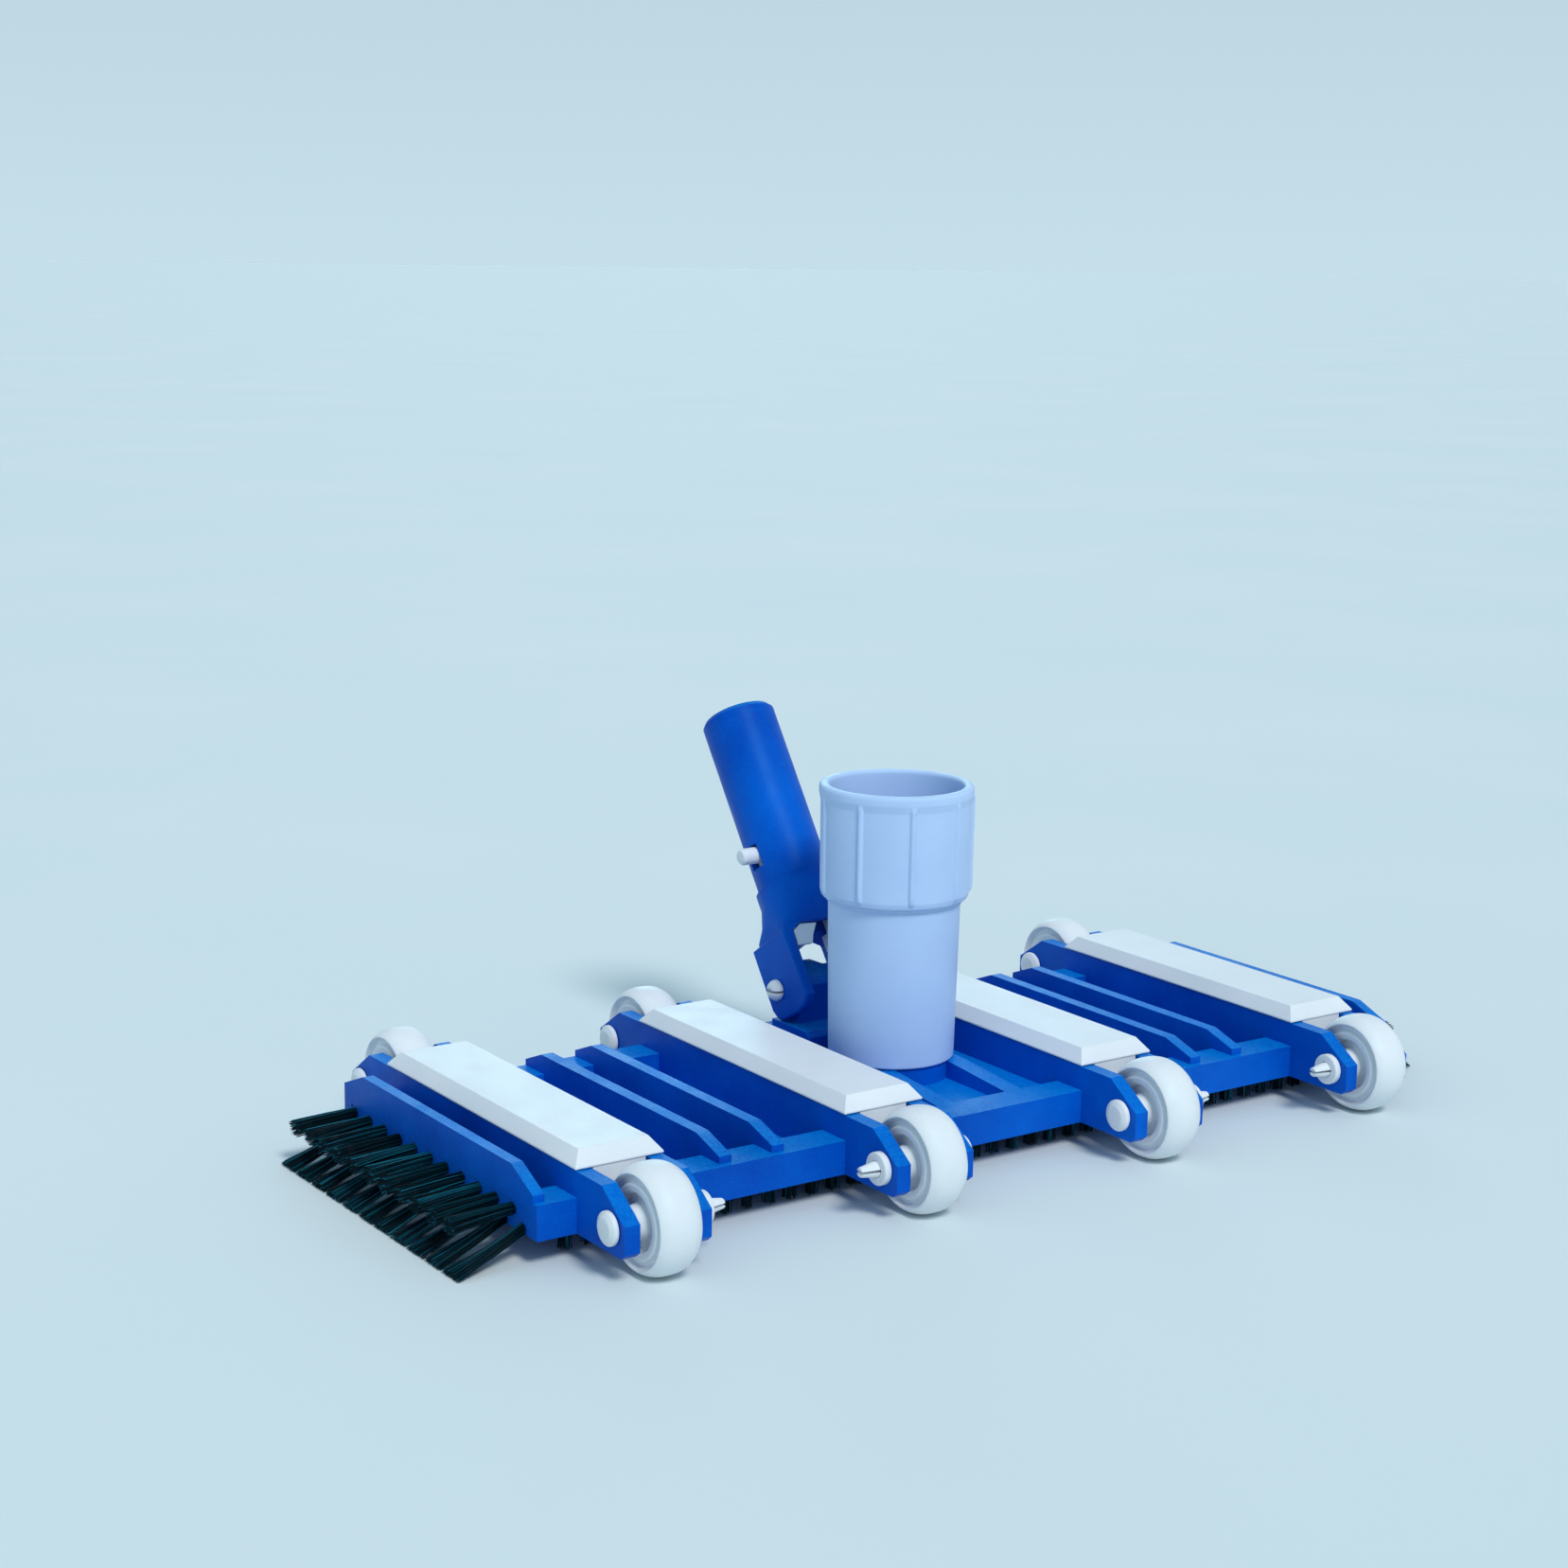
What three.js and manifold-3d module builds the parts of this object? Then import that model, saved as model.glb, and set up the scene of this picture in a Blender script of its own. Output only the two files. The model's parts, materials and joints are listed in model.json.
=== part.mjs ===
// Manual vacuum head for a swimming pool: a long flexible base on eight wheels, weighed down by
// four capped bars, with brushes, a swivelling hose cuff and a tilting pole handle.
// Millimetres, +Z up. X runs along the head, +Y away from the hose side's front edge.
import * as THREE from "three";
import { mergeGeometries, mergeVertices } from "three/addons/utils/BufferGeometryUtils.js";
import Module from "manifold-3d";

const wasm = await Module();
wasm.setup();

// ---- driving dimensions ----
const baseLength = 358;
const baseHalfDepth = 63;
const barPitch = 100; // from one weight bar to the next
const barCentres = [-1.5, -0.5, 0.5, 1.5].map((step) => step * barPitch);
const wheelRadius = 17.4;
const wheelHalfWidth = 7.4;
const axleY = 83; // axles ahead of and behind the middle
const axleZ = 17;
const gap = 0.3; // between pieces that touch

const levels = {
  under: 8.8, // underside of the base
  floor: 11, // pocket floors
  deck: 20.2, // top of the border
  ear: 28.5, // top of the trough walls and axle ears
  rib: 26.8,
  endRib: 29,
  portBoss: 22.9,
  portFloor: 16.5, // of the bay around the hose port
};
const trough = { outer: 15.3, inner: 9.9 }; // half widths
const border = 13;
const earTip = 90.8;
const ribHalf = 2.3;
const ribOffset = 10; // of each rib from the middle of its bay
const endWall = 4;
const endWallRear = 68.5;
const bayHalf = barPitch / 2 - trough.outer;

const capSize = { low: 28.9, top: 34, halfWidth: 15.7, topHalfWidth: 12.4, halfLength: 63, topHalfLength: 59 };
const boxHalf = { width: 9.4, length: 62.6, wall: 1.6 };
const axle = { hole: 2.9, radius: 2.6, headRadius: 5.4, discRadius: 5.4, tip: 8.7 };

const tilt = THREE.MathUtils.degToRad(35); // handle leans back from upright
const pivot = { y: 46, z: 37.5 };
const tubeOffset = 8; // tube axis ahead of the pivot
const poleRadius = 15.2; // outside of the pole that slides on
const tubeRadius = 13.9;
const tubeBore = 11.2;
const shoulderAt = 36.3; // distances along the handle from the pivot
const buttonAt = 49.8;
const tubeEndAt = 106;
const springTopAt = 98;
const fork = { outer: 17, inner: 13.2, ledge: 18.2, front: -16.2, rear: 8 };
const crown = { front: 19.4, rear: 18, fillet: 4, drop: 2.5 }; // top of the gap between the arms
const pin = { radius: 3.3, hole: 3.6, dome: 3.9, slotTurn: 25 };
const tab = { low: 10.9, inner: 8.7, outer: 10.2 }; // spring clip's finger tabs

const cuff = {
  foot: 23.3,
  footRadius: 22.2,
  collarLow: 79.5,
  sleeveRadius: 23.3,
  bore: 19.6,
  collarTop: 120.5,
  collarRadius: 26.2,
  lipRadius: 27,
  mouthRadius: 23.4,
  beads: 9,
  firstBead: -114.4, // degrees
  beadRadius: 1,
};
const port = { radius: 19.2, bore: 16.8, top: 62 };
const screwX = [-10, 10]; // of the screws that hold the handle's bracket
const screwY = 40;

const tufts = { perRow: 13, floorCount: 40, floorPitch: 8.4, floorRowY: 53 };
const brushEnds = [-57, 63]; // of the side brush's backing, along Y

// ---- solids ----
const solidOf = (geometry) => {
  const bare = geometry.clone();
  bare.deleteAttribute("normal");
  bare.deleteAttribute("uv");
  const merged = mergeVertices(bare, 1e-4);
  return new wasm.Manifold(
    new wasm.Mesh({
      numProp: 3,
      vertProperties: new Float32Array(merged.attributes.position.array),
      triVerts: new Uint32Array(merged.index.array),
    }),
  );
};
const geometryOf = (solid) => {
  const { numProp, vertProperties, triVerts } = solid.getMesh();
  if (numProp !== 3) throw new Error("expected bare positions");
  return new THREE.BufferGeometry()
    .setAttribute("position", new THREE.BufferAttribute(vertProperties, 3))
    .setIndex(new THREE.BufferAttribute(triVerts, 1));
};
const join = (...solids) => solids.reduce((whole, piece) => whole.add(piece));
const cut = (solid, ...tools) => tools.reduce((left, tool) => left.subtract(tool), solid);

// Box from its lowest to its highest corner.
const block = ([x0, y0, z0], [x1, y1, z1]) =>
  solidOf(
    new THREE.BoxGeometry(x1 - x0, y1 - y0, z1 - z0).translate((x0 + x1) / 2, (y0 + y1) / 2, (z0 + z1) / 2),
  );

// Outline of [y, z] points pushed along X from x0 to x1.
const slabAlongX = (outline, x0, x1, bevel = 0) => {
  const shape = new THREE.Shape(outline.map(([y, z]) => new THREE.Vector2(y, z)));
  const geometry = new THREE.ExtrudeGeometry(shape, {
    depth: x1 - x0 - 2 * bevel,
    bevelEnabled: bevel > 0,
    bevelThickness: bevel,
    bevelSize: bevel,
    bevelOffset: -bevel,
    bevelSegments: 1,
  });
  const turn = new THREE.Matrix4().makeBasis(
    new THREE.Vector3(0, 1, 0),
    new THREE.Vector3(0, 0, 1),
    new THREE.Vector3(1, 0, 0),
  );
  return solidOf(geometry.applyMatrix4(turn).translate(x0 + bevel, 0, 0));
};

// Outline of [x, z] points pushed along Y from y0 to y1.
const slabAlongY = (outline, y0, y1) => {
  const shape = new THREE.Shape(outline.map(([x, z]) => new THREE.Vector2(x, z)));
  const geometry = new THREE.ExtrudeGeometry(shape, { depth: y1 - y0, bevelEnabled: false });
  return solidOf(geometry.rotateX(Math.PI / 2).translate(0, y1, 0));
};

// Closed profile of [radius, height] points turned about Z, or about X where height runs along X.
const turned = (profile, sides, axis = "z") => {
  const geometry = new THREE.LatheGeometry(
    profile.map(([radius, height]) => new THREE.Vector2(radius, height)),
    sides,
  );
  geometry.rotateX(Math.PI / 2);
  if (axis === "x") geometry.rotateY(Math.PI / 2);
  const solid = solidOf(geometry);
  return solid.volume() > 0 ? solid : solidOf(flipped(geometry));
};
const flipped = (geometry) => {
  const copy = geometry.clone();
  const order = copy.index.array;
  for (let i = 0; i < order.length; i += 3) [order[i], order[i + 1]] = [order[i + 1], order[i]];
  return copy;
};
const rod = (radius, from, to, sides, axis = "z") =>
  turned([[0, from], [radius, from], [radius, to], [0, to]], sides, axis);

// Skin over rings of points that all have the same count, closed flat at both ends.
const lofted = (rings) => {
  const count = rings[0].length;
  const points = rings.flat();
  const faces = [];
  rings.slice(1).forEach((_, level) => {
    for (let i = 0; i < count; i++) {
      const a = level * count + i;
      const b = level * count + ((i + 1) % count);
      faces.push(a, b, b + count, a, b + count, a + count);
    }
  });
  for (let i = 1; i < count - 1; i++) {
    faces.push(0, i + 1, i);
    const top = (rings.length - 1) * count;
    faces.push(top, top + i, top + i + 1);
  }
  const geometry = new THREE.BufferGeometry().setFromPoints(points).setIndex(faces);
  const solid = solidOf(geometry);
  return solid.volume() > 0 ? solid : solidOf(flipped(geometry));
};

// ---- base moulding ----
// Side view of a rib: flat top and a slope at either end.
const ribOutline = (top, rear, slope) => [
  [-60.5, levels.floor - 1],
  [-60.5, 22.6],
  [-47, top],
  [rear - slope, top],
  [rear, top - 0.4 * slope],
  [rear, levels.floor - 1],
];
const earOutline = (side) =>
  [
    [58, levels.under],
    [88.6, levels.under],
    [earTip, 10.6],
    [earTip, 19.4],
    [77.5, levels.ear],
    [58, levels.ear],
  ].map(([y, z]) => [side * y, z]);

function baseMoulding() {
  const halfLength = baseLength / 2;
  let solid = block([-halfLength, -baseHalfDepth, levels.under], [halfLength, baseHalfDepth, levels.deck]);

  const inner = baseHalfDepth - border;
  const bayEdges = [-halfLength + endWall, ...barCentres.flatMap((x) => [x - trough.outer, x + trough.outer])];
  bayEdges.push(halfLength - endWall);
  for (let i = 0; i < bayEdges.length; i += 2) {
    const floor = i === 4 ? levels.portFloor : levels.floor;
    solid = cut(solid, block([bayEdges[i], -inner, floor], [bayEdges[i + 1], inner, levels.deck + 1]));
  }

  for (const x of barCentres) {
    for (const side of [-1, 1]) {
      const [x0, x1] = side < 0 ? [x - trough.outer, x - trough.inner] : [x + trough.inner, x + trough.outer];
      solid = join(
        solid,
        block([x0, -baseHalfDepth, levels.under], [x1, baseHalfDepth, levels.ear]),
        slabAlongX(earOutline(1), x0, x1),
        slabAlongX(earOutline(-1), x0, x1),
      );
    }
    solid = cut(solid, block([x - trough.inner, -70, levels.floor], [x + trough.inner, 70, levels.ear + 1]));
    for (const y of [-axleY, axleY])
      solid = cut(solid, rod(axle.hole, x - 20, x + 20, 12, "x").translate([0, y, axleZ]));
  }

  for (const side of [-1, 1]) {
    for (const offset of [-ribOffset, ribOffset]) {
      const x = side * barPitch + offset;
      solid = join(solid, slabAlongX(ribOutline(levels.rib, baseHalfDepth, 11), x - ribHalf, x + ribHalf));
    }
  }
  // End walls, the right one being the left one turned half round, each with a recess for a brush.
  const wall = cut(
    join(
      slabAlongX(ribOutline(levels.endRib, endWallRear, 14), -halfLength, -halfLength + endWall),
      block([-halfLength, -baseHalfDepth, levels.under], [-halfLength + endWall, endWallRear, levels.deck]),
    ),
    block([-halfLength - 1, brushEnds[0] - gap, 0], [-halfLength + 2, brushEnds[1] + gap, 17.4]),
  );
  solid = cut(solid, block([-halfLength - 1, -70, 0], [-halfLength + endWall, 70, 40]));
  solid = cut(solid, block([halfLength - endWall, -70, 0], [halfLength + 1, 70, 40]));
  solid = join(solid, wall, wall.rotate([0, 0, 180]));

  // Gussets that climb from the front border to the boss under the hose port.
  const gusset = [
    [-inner - 1, levels.under + 1],
    [-inner - 1, levels.deck],
    [-18, levels.portBoss],
    [0, levels.portBoss],
    [0, levels.under + 1],
  ];
  for (const x of [-14.8, 14.8]) solid = join(solid, slabAlongX(gusset, x - 3.5, x + 3.5));
  solid = join(solid, rod(21, levels.under, levels.portBoss, 40));
  return cut(
    solid,
    rod(port.radius + gap, levels.under - 1, levels.portBoss + 1, 40),
    rod(24.4, levels.under - 1, levels.floor + 0.1, 40),
    ...screwX.map((x) => rod(2.2, levels.under - 1, 20, 12).translate([x, screwY, 0])),
    ...screwX.map((x) => rod(3.9, levels.under - 1, levels.under + 2.2, 12).translate([x, screwY, 0])),
    ...lightening(),
  );
}

// Hollows from below that keep the bay's thick floor to an even wall.
function lightening() {
  const wide = bayHalf - 2;
  const [low, high] = [levels.under - 1, levels.portFloor - 2.4];
  return [
    block([-wide, -baseHalfDepth + border + 2, low], [wide, -26.5, high]),
    block([-wide, 26.5, low], [screwX[0] - 6, baseHalfDepth - border - 2, high]),
    block([screwX[1] + 6, 26.5, low], [wide, baseHalfDepth - border - 2, high]),
  ];
}

// ---- weight bars ----
// Cap with a hipped top over a box that drops into the trough.
function weightCap() {
  const { low, top, halfWidth, topHalfWidth, halfLength, topHalfLength } = capSize;
  const rectangle = (a, b, z) =>
    [[-a, -b], [a, -b], [a, b], [-a, b]].map(([x, y]) => new THREE.Vector3(x, y, z));
  const roof = lofted([
    rectangle(halfWidth, halfLength, low),
    rectangle(halfWidth, halfLength, low + 0.6),
    rectangle(topHalfWidth, topHalfLength, top),
  ]);
  const { width, length, wall } = boxHalf;
  const skirt = block([-width, -length, levels.floor + gap], [width, length, low + 1]);
  const hollow = block(
    [-width + wall, -length + wall, levels.floor - 1],
    [width - wall, length - wall, low + 1.4],
  );
  return cut(join(roof, skirt), hollow);
}
const weightBar = () =>
  slabAlongX(
    [
      [-59.5, levels.floor + 0.6],
      [59.5, levels.floor + 0.6],
      [60.4, levels.floor + 1.5],
      [60.4, levels.ear - 1],
      [59.5, levels.ear],
      [-59.5, levels.ear],
      [-60.4, levels.ear - 1],
      [-60.4, levels.floor + 1.5],
    ],
    -7.4,
    7.4,
  );

// ---- wheels and axles, turned about X ----
function wheel() {
  const side = [
    [axle.hole, wheelHalfWidth + 1.6],
    [5.2, wheelHalfWidth + 1.6],
    [5.8, wheelHalfWidth - 2.8],
    [8.6, wheelHalfWidth - 2.8],
    [9.2, wheelHalfWidth - 0.6],
    [11.6, wheelHalfWidth - 0.4],
    [12.3, wheelHalfWidth - 2],
    [13.4, wheelHalfWidth - 2],
    [14.9, wheelHalfWidth],
    [wheelRadius - 0.6, wheelHalfWidth - 2.2],
  ];
  const mirrored = side.map(([radius, x]) => [radius, -x]).reverse();
  return turned([...side, [wheelRadius, 0], ...mirrored, side[0]], 24, "x");
}
// Headed pin with a slotted, tapering tip, pointing along +X.
function axlePin() {
  const face = trough.outer + gap;
  const pin = turned(
    [
      [0, -face - 2.4],
      [4, -face - 2.1],
      [axle.headRadius, -face - 1.1],
      [axle.headRadius, -face],
      [axle.radius, -face],
      [axle.radius, face + 3],
      [1.5, face + axle.tip],
      [0, face + axle.tip],
    ],
    12,
    "x",
  );
  return cut(pin, block([face - 3, -5, -0.45], [face + 12, 5, 0.45]));
}
const washer = () => {
  const face = trough.outer + gap;
  return turned(
    [
      [axle.radius + 0.15, face],
      [axle.discRadius, face],
      [axle.discRadius, face + 2],
      [axle.discRadius - 0.4, face + 2.4],
      [axle.radius + 0.15, face + 2.4],
      [axle.radius + 0.15, face],
    ],
    14,
    "x",
  );
};

// ---- brushes ----
// Three-sided bristle through a path of points, thinning to its tip.
function bristle(path, thickness) {
  const along = path[path.length - 1].clone().sub(path[0]).normalize();
  const across = new THREE.Vector3(0, 1, 0).cross(along).normalize();
  const beside = along.clone().cross(across);
  const rings = path.map((point, i) => {
    const radius = thickness * (1 - 0.3 * (i / (path.length - 1)));
    return [0, 1, 2].map((corner) => {
      const angle = (corner * 2 * Math.PI) / 3;
      return point
        .clone()
        .addScaledVector(across, radius * Math.cos(angle))
        .addScaledVector(beside, radius * Math.sin(angle));
    });
  });
  const points = rings.flat();
  const faces = [0, 2, 1];
  for (let level = 0; level < rings.length - 1; level++)
    for (let i = 0; i < 3; i++) {
      const a = level * 3 + i;
      const b = level * 3 + ((i + 1) % 3);
      faces.push(a, b, b + 3, a, b + 3, a + 3);
    }
  const last = points.length - 3;
  faces.push(last, last + 1, last + 2);
  return new THREE.BufferGeometry().setFromPoints(points).setIndex(faces);
}
function brush(strip, strands) {
  const together = mergeGeometries(strands);
  let bristles = new wasm.Manifold(
    new wasm.Mesh({
      numProp: 3,
      vertProperties: new Float32Array(together.attributes.position.array),
      triVerts: new Uint32Array(together.index.array),
    }),
  );
  if (bristles.volume() < 0) bristles = solidOf(flipped(together));
  return strip.add(bristles);
}
// Two rows along an end wall: the upper one stands out, the lower one bends along the ground.
function sideBrush() {
  const root = -baseLength / 2;
  const strip = block([root + 0.1, brushEnds[0], levels.under], [root + 1.7, brushEnds[1], 17.1]);
  const strands = [];
  const row = (rear, front, i) => rear + (front - rear) * (i / (tufts.perRow - 1));
  for (let i = 0; i < tufts.perRow; i++) {
    const upper = row(60.5, -48, i);
    const lower = row(60.5, -54, i);
    for (const [dy, dz] of [[-1.5, 0.9], [1.5, 0.9], [-1.5, -0.9], [1.5, -0.9]]) {
      strands.push(
        bristle(
          [
            new THREE.Vector3(root + 0.7, upper + dy, 15.2 + dz * 0.8),
            new THREE.Vector3(root - 22.5 + dz, upper + dy * 1.5, 11.8 + dz * 1.5),
          ],
          0.55,
        ),
        bristle(
          [
            new THREE.Vector3(root + 0.7, lower + dy, 10.9 + dz * 0.7),
            new THREE.Vector3(root - 12, lower + dy * 1.3, 3.6 + dz * 0.9),
            new THREE.Vector3(root - 24 - dz * 2, lower + dy * 1.6, 0.9 + dz * 0.7),
          ],
          0.55,
        ),
      );
    }
  }
  return brush(strip, strands);
}
function floorBrush(y) {
  const strip = block([-170, y - 3.5, 7], [170, y + 3.5, levels.under - gap]);
  const strands = [];
  for (let i = 0; i < tufts.floorCount; i++) {
    const x = (i - (tufts.floorCount - 1) / 2) * tufts.floorPitch;
    for (const [dx, dy] of [[-1.4, -1], [1.4, -1], [0, 1.4]])
      strands.push(
        bristle(
          [new THREE.Vector3(x + dx, y + dy, 7.8), new THREE.Vector3(x + dx * 1.2, y + dy * 1.3, 0.7)],
          0.7,
        ),
      );
  }
  return brush(strip, strands);
}

// ---- hose side ----
const hosePort = () =>
  turned(
    [
      [port.bore, levels.under + gap],
      [24, levels.under + gap],
      [24, levels.floor - 0.2],
      [port.radius, levels.floor - 0.2],
      [port.radius, 52],
      [18, 52],
      [18, 54.4],
      [port.radius, 54.4],
      [port.radius, port.top - 1.5],
      [18.2, port.top],
      [port.bore, port.top],
      [port.bore, levels.under + gap],
    ],
    32,
  );
function portSeal() {
  const geometry = new THREE.TorusGeometry(18.85, 0.62, 5, 24).translate(0, 0, 53.2);
  return solidOf(geometry);
}
function cuffSleeve() {
  const { foot, footRadius, collarLow, sleeveRadius, bore } = cuff;
  return turned(
    [
      [bore + 0.1, foot],
      [footRadius - 0.6, foot],
      [footRadius, foot + 0.6],
      [sleeveRadius, collarLow + 4],
      [24.6, collarLow + 4],
      [24.6, collarLow + 7],
      [sleeveRadius - 1, collarLow + 8.4],
      [bore + 0.1, collarLow + 8.4],
      [bore + 0.1, foot],
    ],
    40,
  );
}
function swivelCollar() {
  const { collarLow, collarTop, collarRadius, lipRadius, mouthRadius } = cuff;
  let solid = turned(
    [
      [25, collarLow + 1],
      [25.7, collarLow + 1.8],
      [collarRadius, collarLow + 3.6],
      [collarRadius + 0.2, collarTop - 6],
      [lipRadius, collarTop - 3.6],
      [lipRadius, collarTop - 1.4],
      [lipRadius - 1.2, collarTop],
      [mouthRadius + 0.7, collarTop],
      [mouthRadius, collarTop - 0.8],
      [mouthRadius, collarTop - 26],
      [18.6, collarTop - 28.5],
      [18.6, collarLow + 8.9],
      [25, collarLow + 8.9],
      [25, collarLow + 1],
    ],
    44,
  );
  const bead = rod(cuff.beadRadius, collarLow + 3.2, collarTop - 4.5, 8).translate([collarRadius, 0, 0]);
  for (let i = 0; i < cuff.beads; i++)
    solid = join(solid, bead.rotate([0, 0, cuff.firstBead + (i * 360) / cuff.beads]));
  return solid;
}
const retainingRing = () => {
  const low = cuff.collarLow;
  return turned(
    [
      [cuff.sleeveRadius + 0.4, low],
      [24.1, low],
      [24.7, low + 0.8],
      [24.7, low + 3.4],
      [cuff.sleeveRadius + 0.4, low + 3.4],
      [cuff.sleeveRadius + 0.4, low],
    ],
    32,
  );
};

// ---- pole handle: upright along Z with the pivot at the origin; the front faces -Y ----
function handleFork() {
  const count = 32;
  // Superellipse outline: two is a circle, larger powers are squarer.
  const section = (height, centre, halfX, halfY, power) =>
    Array.from({ length: count }, (_, i) => {
      const angle = ((i + 0.5) * 2 * Math.PI) / count;
      const bend = (value) => Math.sign(value) * Math.abs(value) ** (2 / power);
      return new THREE.Vector3(
        halfX * bend(Math.cos(angle)),
        -centre + halfY * bend(Math.sin(angle)),
        height,
      );
    });
  const neck = lofted([
    section(fork.ledge - 6, 4.5, 15.8, 11.7, 8),
    section(fork.ledge + 1.4, 4.5, 15.6, 11.7, 8),
    section(24, 6.4, 15.3, 13.6, 2.9),
    section(30, tubeOffset, poleRadius, poleRadius, 2),
    section(shoulderAt, tubeOffset, poleRadius, poleRadius, 2),
  ]);
  const armOutline = [
    [-13.5, -10.4],
    [-16, -8],
    [-15.3, fork.ledge],
    [fork.rear, fork.ledge],
    [fork.rear, -5.5],
    [6.6, -8.6],
    [3, -10.6],
    [-8, -11.6],
  ];
  let solid = neck;
  for (const side of [-1, 1]) {
    const faces = side < 0 ? [-fork.outer, -fork.inner + 0.6] : [fork.inner - 0.6, fork.outer];
    solid = join(solid, slabAlongX(armOutline, ...faces, 0.6));
  }
  const tube = rod(tubeRadius, shoulderAt - 4, tubeEndAt - 1.5, 32);
  const lead = turned(
    [[0, tubeEndAt - 1.6], [tubeRadius, tubeEndAt - 1.6], [tubeRadius - 1.2, tubeEndAt], [0, tubeEndAt]],
    32,
  );
  const shift = [0, -tubeOffset, 0];
  solid = join(solid, tube.translate(shift), lead.translate(shift));
  return cut(
    solid,
    fingerGap(),
    rod(tubeBore, 30, tubeEndAt + 5, 32).translate(shift),
    block([-10.9, -tubeOffset - 5.5, fork.ledge - 4], [10.9, -tubeOffset + 5.5, 31]),
    rod(pin.hole, -30, 30, 20, "x"),
    block([-30, -tubeOffset - 3.5, buttonAt - 5.2], [30, -tubeOffset + 3.5, buttonAt + 3.5]),
  );
}
// Space between the arms: its top slopes down to the rear and has its corners filled.
function fingerGap() {
  const { inner } = fork;
  const across = (y) => {
    const top = crown.front + ((crown.rear - crown.front) * (y - fork.front)) / (fork.rear - fork.front);
    const half = [[inner, -20], [inner, top - crown.drop], [inner - crown.fillet, top]];
    const outline = [...half, ...half.map(([x, z]) => [-x, z]).reverse()];
    return outline.map(([x, z]) => new THREE.Vector3(x, y, z));
  };
  return lofted([across(-40), across(20)]);
}
// Pin with a flat head on the right and a split snap dome on the left.
function pivotPin() {
  const face = fork.outer + gap;
  const whole = turned(
    [
      [0, -face - 3.9],
      [1.7, -face - 3.5],
      [3.2, -face - 2.2],
      [pin.dome, -face - 0.4],
      [pin.dome, -face],
      [pin.radius, -face],
      [pin.radius, face],
      [6, face],
      [6, face + 1.2],
      [5, face + 2],
      [0, face + 2],
    ],
    20,
    "x",
  );
  return cut(whole, block([-face - 5, -5, -0.5], [-8, 5, 0.5])).rotate([pin.slotTurn, 0, 0]);
}
// Spring clip leg: a flat strip from the bend down to the finger tab, with its button. The left
// tab carries a wide pad that passes ahead of the right tab when both are squeezed.
function clipLeg(side) {
  const half = 3.5;
  const leg = slabAlongY(
    [
      [-tab.outer, tab.low],
      [-tab.outer, buttonAt + 6],
      [-3.2, springTopAt - 3],
      [-1.7, springTopAt - 3],
      [-tab.inner, buttonAt + 6],
      [-tab.inner, tab.low],
    ],
    -half,
    half,
  );
  const button = turned(
    [[0, 9], [3.1, 9], [3.1, poleRadius + 3.4], [2.4, poleRadius + 4.3], [0, poleRadius + 4.5]],
    18,
    "x",
  )
    .rotate([0, 0, 180])
    .translate([0, 0, buttonAt]);
  const pad =
    side < 0
      ? join(
          block([-tab.outer, -7.4, tab.low], [-tab.inner, -half, 17.8]),
          slabAlongY(
            [[-12.6, tab.low], [-6.3, tab.low], [-4.9, 14], [-1.9, 18.3], [-9.2, 18.8], [-12.6, 16.6]],
            -7.4,
            -5.9,
          ),
        )
      : join(
          block([-tab.outer, -5.2, tab.low], [-tab.inner, 7.4, 17]),
          block([-12.6, 5.9, tab.low + 0.4], [-tab.inner, 7.4, 16]),
        );
  const left = join(leg, pad, button).translate([0, -tubeOffset, 0]);
  return side < 0 ? left : left.mirror([1, 0, 0]);
}
function clipBend() {
  const arc = (radius, turn) =>
    Array.from({ length: 9 }, (_, i) => {
      const angle = ((turn > 0 ? i : 8 - i) / 8) * Math.PI;
      return [radius * Math.cos(angle), springTopAt - 2.6 + radius * Math.sin(angle)];
    });
  return slabAlongY([...arc(3.2, 1), ...arc(1.6, -1)], -3.5 - tubeOffset, 3.5 - tubeOffset);
}
function handleBracket() {
  const { y, z } = pivot;
  const seat = levels.portFloor + gap;
  const top = z - 11.5;
  const foot = slabAlongX(
    [[26.5, seat], [26.5, top - 2], [28.5, top], [49.6, top], [49.6, seat]],
    -fork.outer,
    fork.outer,
  );
  const tongue = slabAlongX(
    [[38, 24], [38, 39.8], [40.4, 42.2], [53.6, 44.9], [53.6, 32], [49, 24]],
    -fork.inner + 0.4,
    fork.inner - 0.4,
  );
  const shoulder = slabAlongY([[1.9, 44.9], [8, 42.3], [14, 42.3], [14, 50], [1.9, 50]], 30, 60);
  return cut(
    join(foot, tongue),
    shoulder,
    shoulder.mirror([1, 0, 0]),
    rod(pin.hole, -30, 30, 20, "x").translate([0, y, z]),
    ...screwX.map((x) => rod(2, 8, seat + 6.5, 12).translate([x, screwY, 0])),
  );
}
const bracketScrew = () =>
  turned(
    [
      [0, levels.under + 0.2],
      [3.5, levels.under + 0.2],
      [3.5, levels.under + 1.8],
      [1.7, levels.under + 1.8],
      [1.7, 21],
      [0.9, 22.4],
      [0, 22.4],
    ],
    12,
  );

// ---- materials and assembly ----
const plastic = (color, roughness) => new THREE.MeshStandardMaterial({ color, roughness, metalness: 0 });
const looks = {
  blue: () => plastic(0x0a3fb4, 0.4),
  white: () => plastic(0xdfe8ec, 0.4),
  lilac: () => plastic(0x93aee6, 0.45),
  bristle: () => plastic(0x0c1a20, 0.6),
  rubber: () => plastic(0x111315, 0.8),
  steel: () => new THREE.MeshStandardMaterial({ color: 0x8d9296, roughness: 0.45, metalness: 0.9 }),
};
const head = new THREE.Group();
const add = (name, solid, look, parent = head) => {
  const mesh = new THREE.Mesh(geometryOf(solid), looks[look]());
  mesh.name = name;
  parent.add(mesh);
  return mesh;
};

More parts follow.
